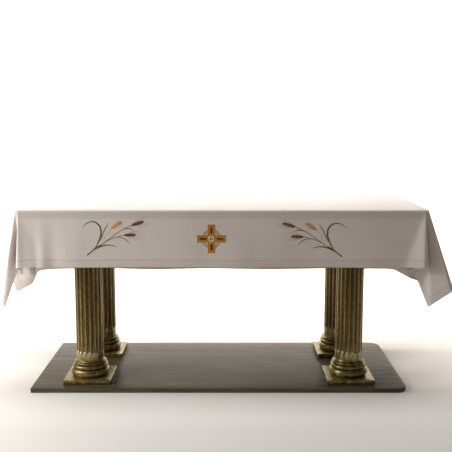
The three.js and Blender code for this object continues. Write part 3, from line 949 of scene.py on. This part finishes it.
def make_cross(materials):
    """Greek cross: couched gold arms with a bar in each, a rounded ring at the middle, two thin circles."""
    gold, bars, ring, line = Threads(21), Threads(22), Threads(23), Threads(24)
    cx, cy, reach, pitch = CROSS["x"], CROSS["drop"], CROSS["reach"], CROSS["pitch"]
    half = CROSS["arm"] / 2
    for ux, uy in ((1, 0), (0, 1), (-1, 0), (0, -1)):
        def at(along, across, ux=ux, uy=uy):
            return cx + ux * along - uy * across, cy + uy * along + ux * across

        steps = round((reach - half) / pitch)
        for i in range(steps + 1):
            along = half + (reach - half) * i / steps
            satin_thread(gold, at(along, -half), at(along, 0.3), 0.5, pitch)
            satin_thread(gold, at(along, -0.3), at(along, half), 0.5, pitch)
        inner, outer, width = CROSS["bar"]
        for i in range(round((outer - inner) / pitch) + 1):
            along = inner + pitch * i
            satin_thread(bars, at(along, -width / 2), at(along, width / 2), 1.9, pitch)
        edges = [[at(half, offset), at(reach, offset)] for offset in (-half, half)]
        for edge in (*edges, [at(reach, -half), at(reach, half)]):
            satin_band(gold, edge, lambda t: 2.4, 1.4, 1.0)
    middle = round(2 * half / pitch)
    for i in range(middle + 1):
        y = cy - half + 2 * half * i / middle
        satin_thread(gold, (cx - half, y), (cx, y), 0.5, pitch)
        satin_thread(gold, (cx, y), (cx + half, y), 0.5, pitch)
    outer, inner = CROSS["ring"]
    steps = 56
    for i in range(steps):
        angle = 2 * math.pi * i / steps
        c, s = math.cos(angle), math.sin(angle)
        squareness = (abs(c) ** 3.4 + abs(s) ** 3.4) ** (-1 / 3.4)
        a, b = ((cx + c * w / 2 * squareness, cy + s * w / 2 * squareness) for w in (inner, outer))
        satin_thread(ring, a, b, 2.0, 1.9)
    for radius in CROSS["circles"]:
        start = math.asin(half / radius) + 0.02
        for turn in range(4):
            arc = []
            for k in range(7):
                angle = math.pi / 2 * turn + start + (math.pi / 2 - 2 * start) * k / 6
                arc.append((cx + radius * math.cos(angle), cy + radius * math.sin(angle)))
            satin_band(line, arc, lambda t: 2.6, 1.5, 0.5)
    return [
        gold.piece("cross_arms", materials["cross"]),
        bars.piece("cross_bars", materials["bar"]),
        ring.piece("cross_ring", materials["cream"]),
        line.piece("cross_circles", materials["gold_dark"]),
    ]


# Table and columns

EDGE_STEPS = 4


def rounded_plate(name, size, corners, edge, corner_steps, material, centre):
    """Plate with rounded corners (left and right radius) and edges, its underside on centre."""
    length, depth, height = size
    ring = []
    for sx, sy, start in ((1, 1, 0), (-1, 1, 90), (-1, -1, 180), (1, -1, 270)):
        corner = corners[0 if sx < 0 else 1]
        for k in range(corner_steps + 1):
            angle = math.radians(start + 90 * k / corner_steps)
            place = (sx * (length / 2 - corner), sy * (depth / 2 - corner))
            ring.append((*place, math.cos(angle), math.sin(angle), corner))
    levels = []
    for k in range(EDGE_STEPS + 1):
        angle = math.pi / 2 * k / EDGE_STEPS
        levels.append((edge * (1 - math.sin(angle)), edge * (1 - math.cos(angle))))
    levels += [(inset, height - z) for inset, z in reversed(levels)]
    points = []
    for inset, z in levels:
        for x, y, c, s, corner in ring:
            out = corner - inset
            points.append(Vector((x + c * out + centre[0], y + s * out + centre[1], z + centre[2])))
    return stacked(name, points, len(ring), 50, material)


def around_axis(centre, radius, angle, z):
    x = centre[0] + radius * math.cos(angle)
    y = centre[1] + radius * math.sin(angle)
    return Vector((x, y, centre[2] + z))


def turned(name, profile, segments, material, centre):
    """Solid of revolution about Z from (radius, height) pairs."""
    points = []
    for radius, z in profile:
        for i in range(segments):
            points.append(around_axis(centre, radius, 2 * math.pi * i / segments, z))
    return stacked(name, points, segments, 40, material)


def base_profile():
    """Three rounded rings, then a hollow sweep in to the shaft."""
    profile = [(BASE_RINGS[0][0] - BASE["roundness"], 0)]
    z = 0
    for radius, height in BASE_RINGS:
        half = height / 2
        for i in range(15):
            angle = -math.pi / 2 + math.pi * i / 14
            swelling = BASE["roundness"] * (math.cos(angle) - 1)
            profile.append((radius + swelling, z + half + 0.98 * half * math.sin(angle)))
        z += height
    z += 1
    for i in range(9):
        angle = math.pi / 2 * i / 8
        radius = COLUMN["radius"] + BASE["sweep"] * (1 - math.sin(angle))
        profile.append((radius, z + (BASE["height"] - z) * (1 - math.cos(angle))))
    return profile


def capital_profile():
    """A neck with one round ring, then a hollow flare out to the abacus."""
    neck = CAPITAL["height"] - CAPITAL["abacus"]
    radius = COLUMN["radius"]
    profile = [(radius, 0), (radius + 1, neck * 0.3)]
    for i in range(7):
        angle = -math.pi / 2 + math.pi * i / 6
        profile.append((radius + 1 + 4 * math.cos(angle), neck * 0.4 + 3.4 * math.sin(angle)))
    for i in range(9):
        angle = math.pi / 2 * i / 8
        z = neck * 0.5 + (neck * 0.5 - 1) * (1 - math.cos(angle))
        profile.append((radius + 2 + 15 * math.sin(angle), z))
    profile.append((radius + 16, neck))
    return profile


# Painted highlight: a bright spot painted at the rounded lower end of each flute, in millimetres.
PAINTED_HIGHLIGHT = {"height": 3.0, "tall": 5.0, "wide": 5.5}


def fluted_shaft(name, height, flute_start, material, centre):
    """Shaft with hollow flutes that end in half-round hollows above the base and below the capital."""
    land, across, between = FLUTES["land"], 10, 16
    half_width = (1 - land) * math.pi * COLUMN["radius"] / FLUTES["count"]
    shares = [0, land / 2] + [land + (1 - land) * k / across for k in range(across)]
    ends = [0, 0.4, 1.2, 2.4, 4, 6, 8, half_width]
    top_end = height - FLUTES["high"]
    heights = [0, flute_start - 1.5] + [flute_start + e for e in ends]
    span = top_end - 2 * half_width - flute_start
    heights += [flute_start + half_width + span * (k + 1) / (between + 1) for k in range(between)]
    heights += [top_end - e for e in reversed(ends)] + [top_end + 1.5, height]
    points, hollows, painted_highlights = [], [], []
    for z in heights:
        from_end = min(z - flute_start, top_end - z)
        # Painted highlight near the flute's lower end.
        end_highlight = bell(z - flute_start - PAINTED_HIGHLIGHT["height"], PAINTED_HIGHLIGHT["tall"])
        for flute in range(FLUTES["count"]):
            for share in shares:
                aside = (2 * (share - land) / (1 - land) - 1) * half_width
                hollow = 0.0
                if share > land and from_end > 0:
                    past = max(0.0, half_width - from_end)
                    hollow = math.sqrt(max(0.0, 1 - (aside * aside + past * past) / half_width ** 2))
                hollows.append(hollow)
                painted_highlights.append(end_highlight * bell(aside, PAINTED_HIGHLIGHT["wide"]))
                radius = COLUMN["radius"] - FLUTES["depth"] * hollow
                angle = (flute + share) / FLUTES["count"] * 2 * math.pi
                points.append(around_axis(centre, radius, angle, z))
    piece = stacked(name, points, FLUTES["count"] * len(shares), 35, material)
    # How deep each point lies in its flute, which the material paints as shade, and the painted highlight
    # at the flute ends.
    add_values(piece, "hollow", hollows)
    add_values(piece, "painted_highlight", painted_highlights)
    return piece


def make_column(node, x, y, material):
    plinth_z = SLAB["height"] + GAP
    base_z = plinth_z + PLINTH["height"] + GAP
    shaft_z = base_z + BASE["height"] + GAP
    abacus_z = TABLE["top"] - TABLE["thickness"] - GAP - CAPITAL["abacus"]
    capital_z = abacus_z - GAP - (CAPITAL["height"] - CAPITAL["abacus"])
    shaft_height = capital_z - GAP - shaft_z
    flute_start = SLAB["height"] + FLUTES["low"] - shaft_z

    def square(name, sizes, height, z):
        corners = (sizes["corner"], sizes["corner"])
        size = (sizes["side"], sizes["side"], height)
        return rounded_plate(name, size, corners, sizes["edge"], 4, material, (x, y, z))

    pieces = {
        "plinth": square(node + "_plinth_fine", PLINTH, PLINTH["height"], plinth_z),
        "base": turned(node + "_base_fine", base_profile(), 96, material, (x, y, base_z)),
        "shaft": fluted_shaft(node + "_shaft_fine", shaft_height, flute_start, material, (x, y, shaft_z)),
        "capital": turned(node + "_capital_fine", capital_profile(), 72, material, (x, y, capital_z)),
        "abacus": square(node + "_abacus_fine", CAPITAL, CAPITAL["abacus"], abacus_z),
    }
    for part, piece in pieces.items():
        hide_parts(f"{node}_{part}")


# Camera, lights, floor

def make_camera():
    data = bpy.data.cameras.new("camera")
    data.lens = CAMERA["lens"]
    data.sensor_width = 36
    camera = bpy.data.objects.new("camera", data)
    camera.location = CAMERA["place"]
    camera.rotation_euler = (math.radians(90 - CAMERA["pitch"]), 0, 0)
    bpy.context.scene.collection.objects.link(camera)
    bpy.context.scene.camera = camera


def place_lamp(name, kind, place, target, power):
    """Lamp at place that shines towards target, in metres."""
    data = bpy.data.lights.new(name, kind)
    data.energy = power
    lamp = bpy.data.objects.new(name, data)
    lamp.location = place
    lamp.rotation_euler = (Vector(target) - Vector(place)).to_track_quat("-Z", "Y").to_euler()
    bpy.context.scene.collection.objects.link(lamp)
    return data


def add_light(name, place, target, size, power, colour=(1, 1, 1)):
    data = place_lamp(name, "AREA", place, target, power)
    data.shape = "RECTANGLE"
    data.size, data.size_y = size
    data.color = colour


def add_spot(name, place, target, degrees, power):
    data = place_lamp(name, "SPOT", place, target, power)
    data.spot_size = math.radians(degrees)
    data.spot_blend = 1.0
    data.shadow_soft_size = 0.2


def make_floor(material):
    """Pale floor that curves up into a backdrop far behind the altar, in metres."""
    wide, bend_from, bend, top = 9.0, 4.0, 2.5, 7.0
    profile = [(-wide, 0.0), (bend_from, 0.0)]
    for k in range(1, 11):
        angle = math.pi / 2 * k / 10
        profile.append((bend_from + bend * math.sin(angle), bend * (1 - math.cos(angle))))
    profile.append((bend_from + bend, top))
    points = []
    for y, z in profile:
        points += [Vector((-wide, y, z)), Vector((wide, y, z))]
    faces = [(2 * i, 2 * i + 1, 2 * i + 3, 2 * i + 2) for i in range(len(profile) - 1)]
    add_mesh("floor", points, faces, material, 1.0)


def make_world():
    world = bpy.data.worlds.new("studio")
    world.use_nodes = True
    background = world.node_tree.nodes["Background"]
    background.inputs["Color"].default_value = (1.0, 0.82, 0.66, 1)
    background.inputs["Strength"].default_value = 0.045
    bpy.context.scene.world = world


bpy.context.scene.view_settings.view_transform = "Standard"
make_camera()
make_world()
make_floor(floor_material())
add_light("key_left", (-2.9, -1.3, 2.1), (-0.5, -0.2, 0.8), (1.2, 1.2), 63, (0.98, 0.98, 1.0))
add_light("left_side", (-3.4, -0.72, 1.0), (-1.25, -0.3, 0.75), (0.6, 1.4), 12)
add_spot("on_left_flap", (-0.5, -2.6, 0.4), (-1.165, -0.42, 0.49), 6, 850)
add_light("from_behind", (-1.6, 3.4, 3.6), (-0.3, 1.2, 0.3), (5.0, 2.0), 78)
add_light("from_above", (0.3, -0.1, 3.9), (0.3, -0.1, 0.0), (4.0, 1.2), 60, (0.94, 0.97, 1.0))
add_light("on_backdrop", (0.0, 1.2, 5.6), (0.0, 6.5, 3.6), (10.0, 2.0), 950)

cloth = make_cloth(linen_material())
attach(cloth, "root")
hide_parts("cloth")

# Colours of the threads: (dark, light).
THREAD = {
    "leaf": ((0.090, 0.112, 0.012), (0.185, 0.205, 0.030)),
    "stem": ((0.11, 0.035, 0.012), (0.22, 0.085, 0.030)),
    "ear": ((0.12, 0.020, 0.0), (0.27, 0.068, 0.002)),
    "awn": ((0.30, 0.13, 0.07), (0.46, 0.24, 0.14)),
    "gold": ((0.60, 0.33, 0.09), (0.86, 0.55, 0.22)),
    "gold_dark": ((0.14, 0.050, 0.008), (0.27, 0.115, 0.020)),
    "cross": ((0.50, 0.245, 0.050), (0.74, 0.40, 0.095)),
    "bar": ((0.085, 0.004, 0.0), (0.17, 0.014, 0.001)),
    "cream": ((0.72, 0.60, 0.38), (0.95, 0.84, 0.60)),
    "white": ((0.50, 0.45, 0.40), (0.68, 0.62, 0.56)),
}
threads = {key: thread_material("thread_" + key, dark, light) for key, (dark, light) in THREAD.items()}
sewn = [make_hem_stitches(threads["white"])] + make_sprays(threads) + make_cross(threads)

brass = metal_material()
for end, hand in (("left", -1), ("right", 1)):
    for row, facing in (("front", -1), ("rear", 1)):
        make_column(f"{row}_{end}", hand * COLUMN["x"], facing * COLUMN["y"], brass)

slab_size = (SLAB["length"], SLAB["depth"], SLAB["height"])
slab_corners = (SLAB["left"], SLAB["right"])
slab = rounded_plate("polished_slab", slab_size, slab_corners, SLAB["edge"], 16, slab_material(), (0, 0, 0))
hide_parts("base_slab")
top_size = (TABLE["length"], TABLE["depth"], TABLE["thickness"])
top_corners = (TABLE["corner"], TABLE["corner"])
top_place = (TABLE["shift"], 0, TABLE["top"] - TABLE["thickness"])
top = rounded_plate("table_board", top_size, top_corners, TABLE["edge"], 12, board_material(), top_place)
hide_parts("table_top")
